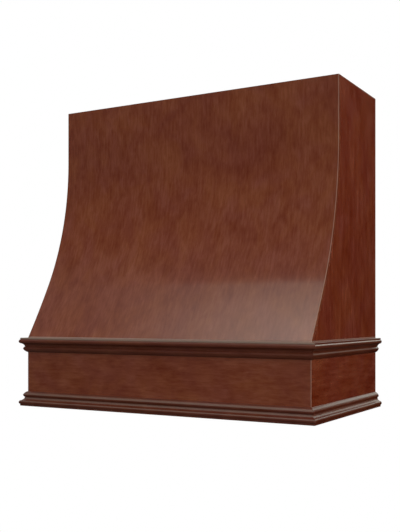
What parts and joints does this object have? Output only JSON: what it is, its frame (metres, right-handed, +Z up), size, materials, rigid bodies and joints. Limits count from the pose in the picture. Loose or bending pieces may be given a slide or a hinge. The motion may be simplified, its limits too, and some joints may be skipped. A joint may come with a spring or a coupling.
{
  "type": "range hood cover",
  "caption": "Stained wood range hood cover: swept front over a base box with mitred mouldings, ribs and ledgers inside, hung on a bevelled wall cleat.",
  "frame": {"origin": "on the wall plane, at the centre line and the bottom edge of the base box", "axes": "+Z up, +Y into the wall, +X to the right as seen from the front; the front faces -Y"},
  "size_m": [0.9524, 0.5143, 0.9144],
  "materials": {
    "stained_veneer": "reddish brown stain under satin lacquer",
    "stained_moulding": "reddish brown stain under satin lacquer",
    "birch_plywood": "unfinished",
    "poplar_strip": "unfinished",
    "zinc_screw": "yellow zinc plate"
  },
  "bodies": {
    "wall_cleat": {"wall_cleat": "birch_plywood"},
    "cover": {"left_side_panel": "stained_veneer", "right_side_panel": "stained_veneer", "curved_front_panel": "stained_veneer", "left_rib": "birch_plywood", "right_rib": "birch_plywood", "apron_front": "stained_veneer", "apron_left": "stained_veneer", "apron_right": "stained_veneer", "upper_moulding_front": "stained_moulding", "upper_moulding_left": "stained_moulding", "upper_moulding_right": "stained_moulding", "lower_moulding_front": "stained_moulding", "lower_moulding_left": "stained_moulding", "lower_moulding_right": "stained_moulding", "front_joining_batten": "poplar_strip", "left_joining_batten": "poplar_strip", "right_joining_batten": "poplar_strip", "front_ledger": "poplar_strip", "back_ledger": "poplar_strip", "left_ledger": "poplar_strip", "right_ledger": "poplar_strip", "left_front_block": "poplar_strip", "right_front_block": "poplar_strip", "left_back_block": "poplar_strip", "right_back_block": "poplar_strip", "left_back_post": "poplar_strip", "right_back_post": "poplar_strip", "top_front_rail": "birch_plywood", "top_back_rail": "birch_plywood", "top_left_rail": "birch_plywood", "top_right_rail": "birch_plywood", "base_back_rail": "birch_plywood", "body_back_rail": "birch_plywood", "hanging_cleat": "birch_plywood", "cleat_screws": "zinc_screw", "back_rail_screws": "zinc_screw", "joining_screws": "zinc_screw", "ledger_screws": "zinc_screw"}
  },
  "joints": [
    {"name": "cover_lift", "type": "slide", "parent": "wall_cleat", "child": "cover", "axis": [0, -0.7071, 0.7071], "range_m": [0, 0.06]}
  ]
}
